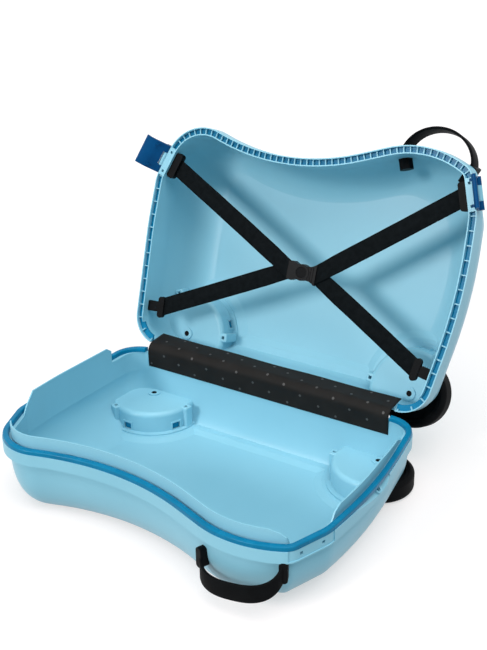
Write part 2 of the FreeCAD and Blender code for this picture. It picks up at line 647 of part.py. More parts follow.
# Latch levers drawn shut, then swung open about their pins
for name, index, share, angle in LATCHES:
    ear_length = (LEVER_WIDTH - KNUCKLE_LENGTH) / 2 - 0.3
    pieces = []
    for start in (-LEVER_WIDTH / 2, LEVER_WIDTH / 2 - ear_length):
        ear_end = Vector(start, PIVOT_OUT, -PIVOT_DEPTH)
        pieces.append(Part.makeCylinder(KNUCKLE_RADIUS, ear_length, ear_end, Vector(1, 0, 0)))
        arm = Part.makeBox(ear_length, LEVER_WALL, PIVOT_DEPTH + 2, Vector(start, LEVER_GAP, -PIVOT_DEPTH))
        pieces.append(arm)
    grip_out = LEVER_GAP + LEVER_FLARE + GRIP_RADIUS
    pieces.append(cross_rod(GRIP_RADIUS, LEVER_WIDTH, grip_out, -LEVER_LENGTH))
    for x in (-STUD_X, STUD_X):
        stud = Part.makeBox(STUD, LEVER_GAP + RECESS + 1.6, STUD, Vector(x - STUD / 2, -RECESS - 1, STUD_DEPTH))
        pieces.append(stud)
    lever = lever_plate().multiFuse(pieces)
    bore = cross_rod(LATCH_PIN_RADIUS + RUNNING_GAP, LEVER_WIDTH + 2, PIVOT_OUT, PIVOT_DEPTH)
    lever = lever.cut(bore).removeSplitter()
    lever.rotate(Vector(0, PIVOT_OUT, -PIVOT_DEPTH), Vector(1, 0, 0), -angle)
    save("latch_lever_" + name, put_lid(edge_place(lever, index, share)))
    pin = cross_rod(LATCH_PIN_RADIUS, LEVER_WIDTH + 1, PIVOT_OUT, PIVOT_DEPTH)
    save("latch_pin_" + name, put_lid(edge_place(pin, index, share)))


def web(start, end, depth, gap):
    # A straight length of webbing, its upper face at the given depth, or the space round it
    length = math.hypot(end[0] - start[0], end[1] - start[1])
    size = (length + 2 * gap, WEB_WIDTH + 2 * gap, WEB_WALL + 2 * gap)
    band = Part.makeBox(size[0], size[1], size[2], Vector(-gap, -size[1] / 2, -WEB_WALL - gap))
    band.rotate(Vector(0, 0, 0), Vector(0, 0, 1), math.degrees(math.atan2(start[1] - end[1], end[0] - start[0])))
    band.translate(spot(start[0], start[1], depth))
    return band


# Straps: anchors at the saddle side, hooks and sliders at the hinge side, all meeting at the buckle
inside = -LID_RIM_INSET
tunnels = []
for (name, index, share, angle), side in zip(LATCHES, (1, -1)):
    start = edge_spot(index, share, inside - ANCHOR_HOLD)
    end = (BUCKLE[0] + side * (BUCKLE_HALF - BUCKLE_WEB_HOLD), BUCKLE[1] + WEB_SPREAD)
    tunnel = web(start, end, UPPER_DEPTH, WEB_GAP)
    tunnels.append(tunnel)
    save("strap_upper_" + name, put_lid(web(start, end, UPPER_DEPTH, 0)))
    anchor = rounded_plate(ANCHOR, inside - ANCHOR[1], UPPER_DEPTH - ANCHOR[2] / 2, 4)
    save("strap_anchor_" + name, put_lid(edge_place(anchor, index, share).cut(tunnel)))
for (name, index, share), side in zip(HOOKS, (1, -1)):
    start = edge_spot(index, share, inside - HOOK[1] - SLIDER[1] / 2)
    end = (BUCKLE[0] + side * (BUCKLE_HALF - BUCKLE_WEB_HOLD), BUCKLE[1] - WEB_SPREAD)
    tunnel = web(start, end, LOWER_DEPTH, WEB_GAP)
    tunnels.append(tunnel)
    save("strap_lower_" + name, put_lid(web(start, end, LOWER_DEPTH, 0)))
    hook = rounded_plate(HOOK, inside - HOOK[1], LOWER_DEPTH - 1, 2)
    save("strap_hook_" + name, put_lid(edge_place(hook, index, share).cut(tunnel)))
    slider = rounded_plate(SLIDER, inside - HOOK[1] - SLIDER[1], LOWER_DEPTH - 2.4, SLIDER[1] / 2 - 0.1)
    save("strap_slider_" + name, put_lid(edge_place(slider, index, share).cut(tunnel)))

# Buckle: socket with a ring round the release button, and the plug with two grip lines
x, s = BUCKLE
floor = BUCKLE_TOP + BUCKLE_HEIGHT
webs = Part.makeCompound(tunnels)
waist = BUCKLE_RING - 1.0
socket_side = [(-BUCKLE_HALF, waist + 2), (-BUCKLE_HALF * 0.64, waist + 3), (-BUCKLE_HALF * 0.36, waist), (3, waist)]
socket_side += [(px, -ps) for px, ps in reversed(socket_side)]
plug_side = [(BUCKLE_RING / 2, waist - 1), (BUCKLE_HALF * 0.64, waist), (BUCKLE_HALF, waist + 4)]
plug_side += [(px, -ps) for px, ps in reversed(plug_side)]
up = Vector(0, 0, BUCKLE_HEIGHT - 1)
socket = extruded([spot(x + px, s + ps, floor) for px, ps in socket_side], up)
socket = socket.fuse(rod(x, s, BUCKLE_RING, BUCKLE_TOP, floor))
well = BUCKLE_TOP + BUTTON_SUNK + BUTTON_HEIGHT + BUTTON_TRAVEL + 0.4
socket = socket.cut(rod(x, s, BUTTON_RADIUS + BUTTON_GAP, BUCKLE_TOP - 1, well))
save("buckle_socket", put_lid(socket.cut(webs)))
plug = extruded([spot(x + px, s + ps, floor) for px, ps in plug_side], up)
plug = plug.cut(rod(x, s, BUCKLE_RING, BUCKLE_TOP - 1, floor + 1))
for px in (BUCKLE_HALF * 0.62, BUCKLE_HALF * 0.78):
    plug = plug.cut(block(x + px, x + px + 1, s - BUCKLE_HALF, s + BUCKLE_HALF, BUCKLE_TOP, BUCKLE_TOP + 1.8))
save("buckle_plug", put_lid(plug.cut(webs)))
button_top = BUCKLE_TOP + BUTTON_SUNK
save("buckle_button", put_lid(rod(x, s, BUTTON_RADIUS, button_top, button_top + BUTTON_HEIGHT)))


def handle_band(reach, sag, lean, fullness):
    # A soft strap bent round as an arch from one lug to the other, its width across the wall
    wires = []
    for step in range(13):
        turn = math.radians(180 - 15 * step)
        along = math.copysign(abs(math.cos(turn)) ** fullness, math.cos(turn))
        out = math.sin(turn) ** fullness
        middle = spot(HANDLE_X + HANDLE_HALF * along, HANDLE_S + reach * out, HANDLE_DEPTH + sag * out - lean * along)
        across = Vector(0, 0, HANDLE_WIDTH / 2)
        through = spot(reach * math.cos(turn), HANDLE_HALF * math.sin(turn), 0).normalize() * (HANDLE_WALL / 2)
        corners = [middle + across + through, middle - across + through]
        corners += [middle - across - through, middle + across - through]
        wires.append(Part.makePolygon(corners + corners[:1]))
    return Part.makeLoft(wires, True, False)


# Handles: the lid's stands up as an arch, the base's hangs in front of its wall
halves = (
    ("base", put_base, base, base_outside, handle_band(BASE_HANDLE_REACH, BASE_HANDLE_SAG, BASE_HANDLE_LEAN, 0.77)),
    ("lid", put_lid, lid, lid_outside, handle_band(LID_HANDLE_REACH, 0, HANDLE_LEAN, 1)),
)
for half, put, shell, outside, strap in halves:
    strap = strap.cut(outside)
    save(half + "_handle_strap", put(strap))
    lugs = []
    clips = []
    for index, share, lower in LUGS:
        depth = HANDLE_DEPTH + lower * HANDLE_LEAN
        inner = 2 * LUG[1]
        lug = Part.makeBox(LUG[0], inner + 1, LUG[2], Vector(-LUG[0] / 2, -inner, -depth - LUG[2] / 2))
        lug = lug.makeFillet(LUG_ROUND, [edge for edge in lug.Edges if edge.BoundBox.YLength > inner])
        lug = lug.makeFillet(LUG_EDGE, [edge for edge in lug.Edges if edge.BoundBox.YMin > 0.99])
        lugs.append(put(edge_place(lug, index, share).cut(outside).cut(strap)))
        points = []
        for turn in range(0, 360, 45):
            wide = CLIP_RADIUS * math.cos(math.radians(turn))
            high = CLIP_RADIUS * math.sin(math.radians(turn))
            points.append(Vector(wide, -26, high - depth))
        clip = edge_place(extruded(points, Vector(0, 20, 0)), index, share).cut(shell)
        clips.append(put(max(clip.Solids, key=lambda piece: piece.Volume)))
    save(half + "_handle_lugs", Part.makeCompound(lugs))
    save(half + "_handle_clips", Part.makeCompound(clips))


def cover_side(offset):
    # One face of the hinge cover across the hinge: up the base wall, round the hinge, then over the lid
    plane = HINGE_INSIDE + COVER_GAP + COVER_WALL / 2
    centre = Vector(0, COVER_BEND - plane, COVER_TOP - COVER_BEND)
    end = Vector(0, COVER_END[0], COVER_END[1])
    reach = (end - centre).Length
    rise = math.atan2(end.z - centre.z, end.y - centre.y) + math.acos(COVER_BEND / reach)
    half_turn = (math.pi + rise) / 2
    normals = [Vector(0, math.cos(turn), math.sin(turn)) for turn in (math.pi, half_turn, rise)]
    points = [Vector(0, -plane - offset, -COVER_DROP)]
    points += [centre + normal * (COVER_BEND + offset) for normal in normals]
    points.append(end + normals[2] * offset)
    return points


outer = cover_side(COVER_WALL / 2)
inner = cover_side(-COVER_WALL / 2)
edges = []
for side in (outer, inner):
    edges.append(Part.LineSegment(side[0], side[1]).toShape())
    edges.append(Part.Arc(side[1], side[2], side[3]).toShape())
    edges.append(Part.LineSegment(side[3], side[4]).toShape())
edges.append(Part.LineSegment(outer[0], inner[0]).toShape())
edges.append(Part.LineSegment(outer[4], inner[4]).toShape())
cover = Part.Face(Part.Wire(Part.__sortEdges__(edges))).extrude(Vector(COVER_X[1] - COVER_X[0], 0, 0))
cover.translate(Vector(COVER_X[0], 0, 0))
save("hinge_cover", put_base(cover))
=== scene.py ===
import json
import math
import bpy
import numpy as np
from mathutils import Matrix, Vector


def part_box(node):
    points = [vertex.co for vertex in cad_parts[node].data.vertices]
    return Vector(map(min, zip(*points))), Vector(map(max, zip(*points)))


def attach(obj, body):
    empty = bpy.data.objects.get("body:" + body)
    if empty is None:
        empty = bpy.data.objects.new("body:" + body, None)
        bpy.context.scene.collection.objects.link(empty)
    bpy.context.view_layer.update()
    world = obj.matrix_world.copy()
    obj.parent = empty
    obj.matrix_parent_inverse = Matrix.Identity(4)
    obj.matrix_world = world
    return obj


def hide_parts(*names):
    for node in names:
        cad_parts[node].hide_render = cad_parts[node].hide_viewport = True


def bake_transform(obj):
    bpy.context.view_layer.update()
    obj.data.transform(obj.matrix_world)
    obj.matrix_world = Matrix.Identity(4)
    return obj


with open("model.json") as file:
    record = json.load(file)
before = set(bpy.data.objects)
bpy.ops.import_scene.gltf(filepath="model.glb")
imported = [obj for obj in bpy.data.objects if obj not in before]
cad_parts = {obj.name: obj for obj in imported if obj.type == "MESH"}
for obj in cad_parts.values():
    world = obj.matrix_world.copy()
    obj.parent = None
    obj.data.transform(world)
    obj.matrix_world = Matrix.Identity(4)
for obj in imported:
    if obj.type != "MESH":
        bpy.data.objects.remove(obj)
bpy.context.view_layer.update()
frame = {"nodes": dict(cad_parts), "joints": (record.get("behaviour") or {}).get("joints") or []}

# Base shell: the lower half of the case, injection-moulded in light blue polypropylene.
# The tool leaves a fine spark-eroded grain and a satin gloss that is a little uneven over the large faces.
# It carries the upstand, the wheel drums and half of the hinge barrels in one piece.
nodes = frame["nodes"]


def join(tree, *pairs):
    """Links the sockets of a node tree, each pair from an output to an input."""
    for source, target in pairs:
        tree.links.new(source, target)


def moulded(name, dark, light, patch, rough, shine, grain, relief):
    """A moulded finish: tint and gloss that vary in patches, and a fine grain in relief."""
    gloss_spread = 0.05
    grain_height = 0.0003
    material = bpy.data.materials.new(name)
    material.use_nodes = True
    tree = material.node_tree
    shader = tree.nodes["Principled BSDF"]
    shader.inputs["Specular IOR Level"].default_value = shine
    place = tree.nodes.new("ShaderNodeTexCoord")
    cloud = tree.nodes.new("ShaderNodeTexNoise")
    cloud.inputs["Scale"].default_value = patch
    cloud.inputs["Detail"].default_value = 4.0
    tint = tree.nodes.new("ShaderNodeValToRGB")
    tint.color_ramp.elements[0].position = 0.32
    tint.color_ramp.elements[0].color = (*dark, 1)
    tint.color_ramp.elements[1].position = 0.70
    tint.color_ramp.elements[1].color = (*light, 1)
    gloss = tree.nodes.new("ShaderNodeMapRange")
    gloss.inputs["From Min"].default_value = 0.3
    gloss.inputs["From Max"].default_value = 0.7
    gloss.inputs["To Min"].default_value = rough - gloss_spread
    gloss.inputs["To Max"].default_value = rough + gloss_spread
    speckle = tree.nodes.new("ShaderNodeTexNoise")
    speckle.inputs["Scale"].default_value = grain
    speckle.inputs["Detail"].default_value = 3.0
    skin = tree.nodes.new("ShaderNodeBump")
    skin.inputs["Strength"].default_value = relief
    skin.inputs["Distance"].default_value = grain_height
    join(
        tree,
        (place.outputs["Object"], cloud.inputs["Vector"]),
        (place.outputs["Object"], speckle.inputs["Vector"]),
        (cloud.outputs["Fac"], tint.inputs["Fac"]),
        (cloud.outputs["Fac"], gloss.inputs["Value"]),
        (tint.outputs["Color"], shader.inputs["Base Color"]),
        (gloss.outputs["Result"], shader.inputs["Roughness"]),
        (speckle.outputs["Fac"], skin.inputs["Height"]),
        (skin.outputs["Normal"], shader.inputs["Normal"]),
    )
    return material


def dress(material, *names):
    """Gives CAD nodes a material."""
    for name in names:
        for slot in nodes[name].material_slots:
            slot.material = material


shell_plastic = moulded(
    "shell_plastic",
    dark=(0.272, 0.552, 0.668),
    light=(0.300, 0.584, 0.700),
    patch=7.0,
    rough=0.33,
    shine=0.28,
    grain=1400.0,
    relief=0.06,
)
dress(shell_plastic, "base_shell")


# Eyelet rim: a smooth round edge in the scoop at the front end, for tying on a cord to pull the case along.
# It is the shell's own plastic, rounded so that it doesn't wear the cord.
def smooth(mesh):
    """Shades a mesh without facets."""
    mesh.polygons.foreach_set("use_smooth", [True] * len(mesh.polygons))


eyelet_place = Vector((0.2464, 0.0176, 0.0925))
eyelet_axis = Vector((0.706, 0.033, 0.707))
eyelet_radius = 0.0047
eyelet_rounding = 0.0013
bpy.ops.mesh.primitive_torus_add(
    major_radius=eyelet_radius,
    minor_radius=eyelet_rounding,
    major_segments=48,
    minor_segments=16,
)
eyelet = bpy.context.object
eyelet.name = "base_eyelet_rim"
eyelet_turn = eyelet_axis.to_track_quat("Z", "Y").to_matrix().to_4x4()
eyelet.data.transform(Matrix.Translation(eyelet_place) @ eyelet_turn)
smooth(eyelet.data)
eyelet.data.materials.append(shell_plastic)
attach(eyelet, "base")

# Seal bead and groove strip: extruded dark blue plastic, smoother and glossier than the shell.
# The bead is pressed onto the base's ledge, and the strip into the bottom of the lid's groove.
seal_plastic = moulded(
    "seal_plastic",
    dark=(0.001, 0.158, 0.296),
    light=(0.002, 0.196, 0.358),
    patch=30.0,
    rough=0.26,
    shine=0.12,
    grain=900.0,
    relief=0.05,
)
dress(seal_plastic, "base_seal", "lid_seal")

# Hinge pins and latch pins: drawn steel wire pressed into the moulded barrels.
# Drawing leaves the wire bright, with a gloss that is finely uneven.
steel = bpy.data.materials.new("drawn_steel")
steel.use_nodes = True
steel_tree = steel.node_tree
steel_shader = steel_tree.nodes["Principled BSDF"]
steel_shader.inputs["Base Color"].default_value = (0.56, 0.57, 0.59, 1)
steel_shader.inputs["Metallic"].default_value = 1.0
steel_place = steel_tree.nodes.new("ShaderNodeTexCoord")
draw_marks = steel_tree.nodes.new("ShaderNodeTexNoise")
draw_marks.inputs["Scale"].default_value = 900.0
draw_gloss = steel_tree.nodes.new("ShaderNodeMapRange")
draw_gloss.inputs["To Min"].default_value = 0.22
draw_gloss.inputs["To Max"].default_value = 0.42
join(
    steel_tree,
    (steel_place.outputs["Object"], draw_marks.inputs["Vector"]),
    (draw_marks.outputs["Fac"], draw_gloss.inputs["Value"]),
    (draw_gloss.outputs["Result"], steel_shader.inputs["Roughness"]),
)
dress(steel, "hinge_pins", "latch_pin_front", "latch_pin_rear")

# Wheels: hard black cores with a softer tread moulded round them, on axles that pass through the drums.
# A blue cup lines each drum and shows in its two windows, and a black cap holds the wheel on its axle.
tread_rubber = moulded(
    "tread_rubber",
    dark=(0.0028, 0.0028, 0.0032),
    light=(0.0060, 0.0060, 0.0066),
    patch=60.0,
    rough=0.60,
    shine=0.05,
    grain=500.0,
    relief=0.15,
)
black_plastic = moulded(
    "black_plastic",
    dark=(0.0032, 0.0034, 0.0038),
    light=(0.0056, 0.0058, 0.0064),
    patch=90.0,
    rough=0.46,
    shine=0.05,
    grain=700.0,
    relief=0.12,
)
for half in ("base", "lid"):
    for end in ("front", "rear"):
        wheel = half + "_" + end + "_wheel_"
        dress(tread_rubber, wheel + "tread")
        dress(black_plastic, wheel + "core", wheel + "axle")
        dress(seal_plastic, wheel + "housing")
    dress(black_plastic, half + "_axle_caps")

# Base handle: a soft black strap bent into a bail, its ends held in two lugs that clip through the wall.
# The strap is moulded in a rubbery plastic with rounded edges, and this one hangs down a little.
scene = bpy.context.scene
hinge = next(joint for joint in frame["joints"] if joint["name"] == "lid_hinge")
hinge_point = Vector(hinge["pos_m"])
hinge_turn = math.radians(hinge["range_deg"][1])
half_axes = {
    "base": (Vector((0, -1, 0)), Vector((0, 0, -1))),
    "lid": (
        Vector((0, -math.cos(hinge_turn), math.sin(hinge_turn))),
        Vector((0, math.sin(hinge_turn), math.cos(hinge_turn))),
    ),
}


def in_half(half, x, across, deep):
    """A point of one half: along the hinge, away from it across the rim, and down from the rim."""
    away, inward = half_axes[half]
    return hinge_point + Vector((x, 0, 0)) + away * across + inward * deep


def strap_section(width, thick):
    """A flat strap's section with rounded edges, as offsets across its width and through its thickness."""
    edge_roundness = 0.48
    corner_steps = 4
    outline = []
    radius = edge_roundness * thick
    for side_w, side_t, start in ((1, 1, 0), (-1, 1, 90), (-1, -1, 180), (1, -1, 270)):
        for step in range(corner_steps + 1):
            turn = math.radians(start + 90 / corner_steps * step)
            across = side_w * (width / 2 - radius) + radius * math.cos(turn)
            through = side_t * (thick / 2 - radius) + radius * math.sin(turn)
            outline.append((across, through))
    return outline


def strap_skin(name, rings):
    """A closed skin through rings of points, with length and girth as its UV map in metres."""
    count = len(rings[0])
    points = [point for ring in rings for point in ring]
    first_end = list(range(count))[::-1]
    last_end = [len(points) - count + i for i in range(count)]
    lengths = [0.0]
    for before, after in zip(rings, rings[1:]):
        step = (sum(after, Vector()) - sum(before, Vector())).length / count
        lengths.append(lengths[-1] + step)
    girth = [0.0]
    for i in range(count):
        girth.append(girth[-1] + (rings[0][(i + 1) % count] - rings[0][i]).length)
    faces = [first_end, last_end]
    maps = [[(0.0, 0.0)] * count, [(0.0, 0.0)] * count]
    for j in range(len(rings) - 1):
        near = j * count
        far = near + count
        for i in range(count):
            side = (i + 1) % count
            faces.append([near + i, near + side, far + side, far + i])
            maps.append([
                (lengths[j], girth[i]),
                (lengths[j], girth[i + 1]),
                (lengths[j + 1], girth[i + 1]),
                (lengths[j + 1], girth[i]),
            ])
    mesh = bpy.data.meshes.new(name)
    mesh.from_pydata(points, [], faces)
    layer = mesh.uv_layers.new(name="UVMap")
    layer.data.foreach_set("uv", [value for face in maps for corner in face for value in corner])
    smooth(mesh)
    mesh.validate()
    volume = sum(face.center.dot(face.normal) * face.area for face in mesh.polygons)
    if volume < 0:
        mesh.flip_normals()
    piece = bpy.data.objects.new(name, mesh)
    scene.collection.objects.link(piece)
    return piece


def handle_strap(half, reach, sag, lean, fullness, tilt):
    """A strap arched between a half's two lugs, twisted by tilt at one foot and flat at the other."""
    middle_x = 0.1645
    foot = 0.331
    half_span = 0.053
    deep = 0.04264
    width = 0.024
    thick = 0.0036
    stations = 56
    foot_angle = 2
    away, inward = half_axes[half]
    rings = []
    for step in range(stations + 1):
        share = step / stations
        turn = math.radians(180 - foot_angle - (180 - 2 * foot_angle) * share)
        along = math.copysign(abs(math.cos(turn)) ** fullness, math.cos(turn))
        out = math.sin(turn) ** fullness
        x = middle_x + half_span * along
        centre = in_half(half, x, foot + reach * out, deep + sag * out - lean * along)
        through = Vector((reach * math.cos(turn), 0, 0)) + away * (half_span * math.sin(turn))
        through.normalize()
        twist = tilt * (1 - share ** 3)
        wide = inward * math.cos(twist) + through * math.sin(twist)
        thin = through * math.cos(twist) - inward * math.sin(twist)
        rings.append([centre + wide * w + thin * t for w, t in strap_section(width, thick)])
    return strap_skin(half + "_handle_soft_strap", rings)


handle_rubber = moulded(
    "handle_rubber",
    dark=(0.0030, 0.0032, 0.0035),
    light=(0.0055, 0.0057, 0.0062),
    patch=45.0,
    rough=0.52,
    shine=0.03,
    grain=420.0,
    relief=0.16,
)
dress(black_plastic, "base_handle_lugs", "base_handle_clips")
base_strap = handle_strap("base", reach=0.025, sag=0.0234, lean=0.008, fullness=0.77, tilt=0.0)
base_strap.data.materials.append(handle_rubber)
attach(base_strap, "base")
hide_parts("base_handle_strap")

# Lid shell: the upper half, moulded from the same plastic, with two lips round a ribbed groove at its rim.
# Its drums, floor and wall match the base's.
dress(shell_plastic, "lid_shell")

# Lid handle: the same strap, standing up as an arch from its two lugs.
# The lugs are black mouldings that go through the wall and are clipped inside.
dress(black_plastic, "lid_handle_lugs", "lid_handle_clips")
lid_strap = handle_strap("lid", reach=0.044, sag=0.0, lean=0.0075, fullness=1.0, tilt=math.radians(-10))
lid_strap.data.materials.append(handle_rubber)
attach(lid_strap, "lid")
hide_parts("lid_handle_strap")

# Latch levers: dark blue glossy mouldings that swing on the lid's knuckles.
# They are deeper in colour than the bead, and their gloss is a little uneven from handling.
lever_plastic = moulded(
    "lever_plastic",
    dark=(0.001, 0.052, 0.155),
    light=(0.002, 0.068, 0.195),
    patch=40.0,
    rough=0.32,
    shine=0.07,
    grain=600.0,
    relief=0.06,
)
dress(lever_plastic, "latch_lever_front", "latch_lever_rear")

# Luggage straps: four lengths of black polypropylene webbing between the lid's wall and the buckle.
# The web is a plain weave with rounded selvedges, sewn round its fittings and hanging almost straight.
buckle_low, buckle_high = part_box("buckle_button")
buckle_middle = (buckle_low + buckle_high) / 2
web_station = 0.003
web_pull = 0.0065
web_sag = 0.0014
web_ripple = 0.00025
web_ripple_turn = 23
web_sewn_end = 0.045
web_narrowing = 0.06


def webbing(name):
    """A web in place of its CAD solid, drawn to its neighbour at the buckle and cut there on the slant."""
    corners = np.array([vertex.co for vertex in nodes[name].data.vertices])
    corners = np.unique(np.round(corners, 6), axis=0)
    middle = corners.mean(axis=0)
    axes = np.linalg.svd(corners - middle)[2]
    length, width, thick = np.ptp((corners - middle) @ axes.T, axis=0)
    long, wide, thin = [Vector(axis) for axis in axes]
    rise, inward = half_axes["lid"]
    if thin.dot(inward) > 0:
        thin = -thin
    if long.dot(buckle_middle - Vector(middle)) < 0:
        long = -long
    pull = rise * math.copysign(web_pull, long.dot(rise))
    slant = wide.x / long.x
    stations = int(length / web_station)
    rings = []
    for step in range(stations + 1):
        share = step / stations
        drop = web_sag * math.sin(math.pi * share) ** 2
        ripple = web_ripple * math.sin(web_ripple_turn * share) * math.sin(math.pi * share)
        centre = Vector(middle) + long * (length * (share - 0.5)) + pull * share - thin * (drop + ripple)
        near = max(0.0, 1 - length * (1 - share) / web_sewn_end)
        near = near * near * (3 - 2 * near)
        across = wide - long * slant * near
        section = strap_section(width * (1 - web_narrowing * near), thick)
        rings.append([centre + across * w + thin * t for w, t in section])
    return strap_skin(name + "_webbing", rings)


web_weave = bpy.data.materials.new("woven_web")
web_weave.use_nodes = True
web_tree = web_weave.node_tree
web_shader = web_tree.nodes["Principled BSDF"]
web_shader.inputs["Roughness"].default_value = 0.78
web_shader.inputs["Specular IOR Level"].default_value = 0.04
web_place = web_tree.nodes.new("ShaderNodeTexCoord")
picks = web_tree.nodes.new("ShaderNodeTexWave")
picks.bands_direction = "X"
picks.inputs["Scale"].default_value = 190.0
ends = web_tree.nodes.new("ShaderNodeTexWave")
ends.bands_direction = "Y"
ends.inputs["Scale"].default_value = 240.0
crossing = web_tree.nodes.new("ShaderNodeMath")
crossing.operation = "MULTIPLY"
fuzz = web_tree.nodes.new("ShaderNodeTexNoise")
fuzz.inputs["Scale"].default_value = 130.0
fuzz.inputs["Detail"].default_value = 5.0
web_tint = web_tree.nodes.new("ShaderNodeValToRGB")
web_tint.color_ramp.elements[0].position = 0.3
web_tint.color_ramp.elements[0].color = (0.0030, 0.0040, 0.0046, 1)
web_tint.color_ramp.elements[1].position = 0.75
web_tint.color_ramp.elements[1].color = (0.0066, 0.0080, 0.0090, 1)
weave_relief = web_tree.nodes.new("ShaderNodeBump")
weave_relief.inputs["Strength"].default_value = 0.5
weave_relief.inputs["Distance"].default_value = 0.0004
join(
    web_tree,
    (web_place.outputs["UV"], picks.inputs["Vector"]),
    (web_place.outputs["UV"], ends.inputs["Vector"]),
    (web_place.outputs["UV"], fuzz.inputs["Vector"]),
    (picks.outputs["Fac"], crossing.inputs[0]),
    (ends.outputs["Fac"], crossing.inputs[1]),
    (crossing.outputs["Value"], weave_relief.inputs["Height"]),
    (fuzz.outputs["Fac"], web_tint.inputs["Fac"]),
    (web_tint.outputs["Color"], web_shader.inputs["Base Color"]),
    (weave_relief.outputs["Normal"], web_shader.inputs["Normal"]),
)
for end in ("front", "rear"):
    for part in ("strap_upper_", "strap_lower_"):
        web = webbing(part + end)
        web.data.materials.append(web_weave)
        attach(web, "lid")
        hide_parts(part + end)

# Strap fittings: black mouldings, anchors by the saddle, and hooks with sliders by the hinge.
# The hooks are fixed to the lid's inner wall and the sliders hold the loose ends of the web.
for end in ("front", "rear"):
    dress(black_plastic, "strap_anchor_" + end, "strap_hook_" + end, "strap_slider_" + end)

# Buckle: a black socket and plug where the four webs meet, with a round release button in the socket's ring.
# The mouldings are a shade lighter and glossier than the web, and the button is darker and more matt.
buckle_plastic = moulded(
    "buckle_plastic",
    dark=(0.0060, 0.0060, 0.0066),
    light=(0.0090, 0.0090, 0.0096),
    patch=60.0,
    rough=0.38,
    shine=0.08,
    grain=800.0,
    relief=0.08,
)
dress(buckle_plastic, "buckle_socket", "buckle_plug")
dress(black_plastic, "buckle_button")

# Hinge cover: one black sheet of coated fabric that hides the hinge, shaped as it lies with the lid open.
# It is fixed inside the base's wall, bent over the hinge and laid to the lid.
# It is printed with small grey dots in slanting rows.
cover_low, cover_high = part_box("hinge_cover")
cover_width = cover_high.x - cover_low.x
cover_thick = 0.0012
cover_bend = 0.0105
cover_reach = 0.0306
cover_lift = 0.0049
cover_wall_y = cover_low.y + cover_thick / 2
cover_crest = cover_high.z - cover_thick / 2
cover_end = Vector((0, hinge_point.y + cover_reach, hinge_point.z + cover_lift))
bend_centre = Vector((0, cover_wall_y + cover_bend, cover_crest - cover_bend))
to_end = cover_end - bend_centre
bend_stop = math.atan2(to_end.z, to_end.y) + math.acos(cover_bend / to_end.length)
cover_rise = bend_centre.z - cover_low.z
cover_arc = cover_bend * (math.pi - bend_stop)
cover_run = math.sqrt(to_end.length ** 2 - cover_bend ** 2)
cover_length = cover_rise + cover_arc + cover_run
cover_slack = 0.0007
cover_fixed_edge = 0.004
cover_easing = 0.02
ripple_along = 31
ripple_across = 120
swell_along = 17
swell_start = 1.3


def on_cover(x, path, lift):
    """A point of the cover: along the hinge, along the sheet from the base, and off its middle."""
    if path < cover_rise:
        normal = Vector((0, -1, 0))
        point = Vector((0, cover_wall_y, cover_low.z + path))
    elif path < cover_rise + cover_arc:
        turn = math.pi - (path - cover_rise) / cover_bend
        normal = Vector((0, math.cos(turn), math.sin(turn)))
        point = bend_centre + normal * cover_bend
    else:
        normal = Vector((0, math.cos(bend_stop), math.sin(bend_stop)))
        ahead = Vector((0, math.sin(bend_stop), -math.cos(bend_stop)))
        point = bend_centre + normal * cover_bend + ahead * (path - cover_rise - cover_arc)
    ripple = math.sin(ripple_along * x + ripple_across * path)
    swell = math.sin(swell_along * x - swell_start)
    slack = cover_slack * (1 + ripple * swell)
    slack *= min(1.0, max(0.0, path - cover_fixed_edge) / cover_easing)
    return Vector((x, 0, 0)) + point + normal * (slack + lift)


def plain_mesh(piece):
    """Turns what a piece's modifiers make into its own mesh."""
    shaped = piece.evaluated_get(bpy.context.evaluated_depsgraph_get())
    piece.data = bpy.data.meshes.new_from_object(shaped)
    piece.modifiers.clear()


cover_columns = 98
cover_rows = 40
cover_points = []
for j in range(cover_rows + 1):
    for i in range(cover_columns + 1):
        x = cover_low.x + cover_width * i / cover_columns
        cover_points.append(on_cover(x, cover_length * j / cover_rows, 0))
cover_faces = []
for j in range(cover_rows):
    for i in range(cover_columns):
        near = j * (cover_columns + 1) + i
        far = near + cover_columns + 1
        cover_faces.append((near, near + 1, far + 1, far))
cover_mesh = bpy.data.meshes.new("hinge_cover_sheet")
cover_mesh.from_pydata(cover_points, [], cover_faces)
smooth(cover_mesh)
cover = bpy.data.objects.new("hinge_cover_sheet", cover_mesh)
scene.collection.objects.link(cover)
wall = cover.modifiers.new("thickness", "SOLIDIFY")
wall.thickness = cover_thick
wall.offset = 0
plain_mesh(cover)
cover_cloth = moulded(
    "cover_cloth",
    dark=(0.0112, 0.0096, 0.0088),
    light=(0.0170, 0.0146, 0.0135),
    patch=35.0,
    rough=0.62,
    shine=0.1,
    grain=520.0,
    relief=0.22,
)
cover.data.materials.append(cover_cloth)

dot_ink = moulded(
    "dot_ink",
    dark=(0.044, 0.039, 0.037),
    light=(0.062, 0.056, 0.054),
    patch=80.0,
    rough=0.6,
    shine=0.5,
    grain=500.0,
    relief=0.1,
)
dot_column_gap = 0.0765
dot_tree = bpy.data.node_groups.new("cover_dots", "GeometryNodeTree")
dot_sockets = {}
for name, kind, value in (
    ("Column gap", "NodeSocketFloat", dot_column_gap),
    ("Row gap", "NodeSocketFloat", 0.0083),
    ("Row shift", "NodeSocketFloat", 0.64),
    ("Dot radius", "NodeSocketFloat", 0.0018),
    ("Scatter", "NodeSocketFloat", 0.0015),
    ("Columns", "NodeSocketInt", 5),
    ("Rows", "NodeSocketInt", 8),
    ("Seed", "NodeSocketInt", 7),
):
    socket = dot_tree.interface.new_socket(name, in_out="INPUT", socket_type=kind)
    dot_sockets[socket.identifier] = value
dot_tree.interface.new_socket("Dots", in_out="OUTPUT", socket_type="NodeSocketGeometry")


def dot_sum(operation):
    """One sum of the dot pattern."""
    node = dot_tree.nodes.new("ShaderNodeMath")
    node.operation = operation
    return node


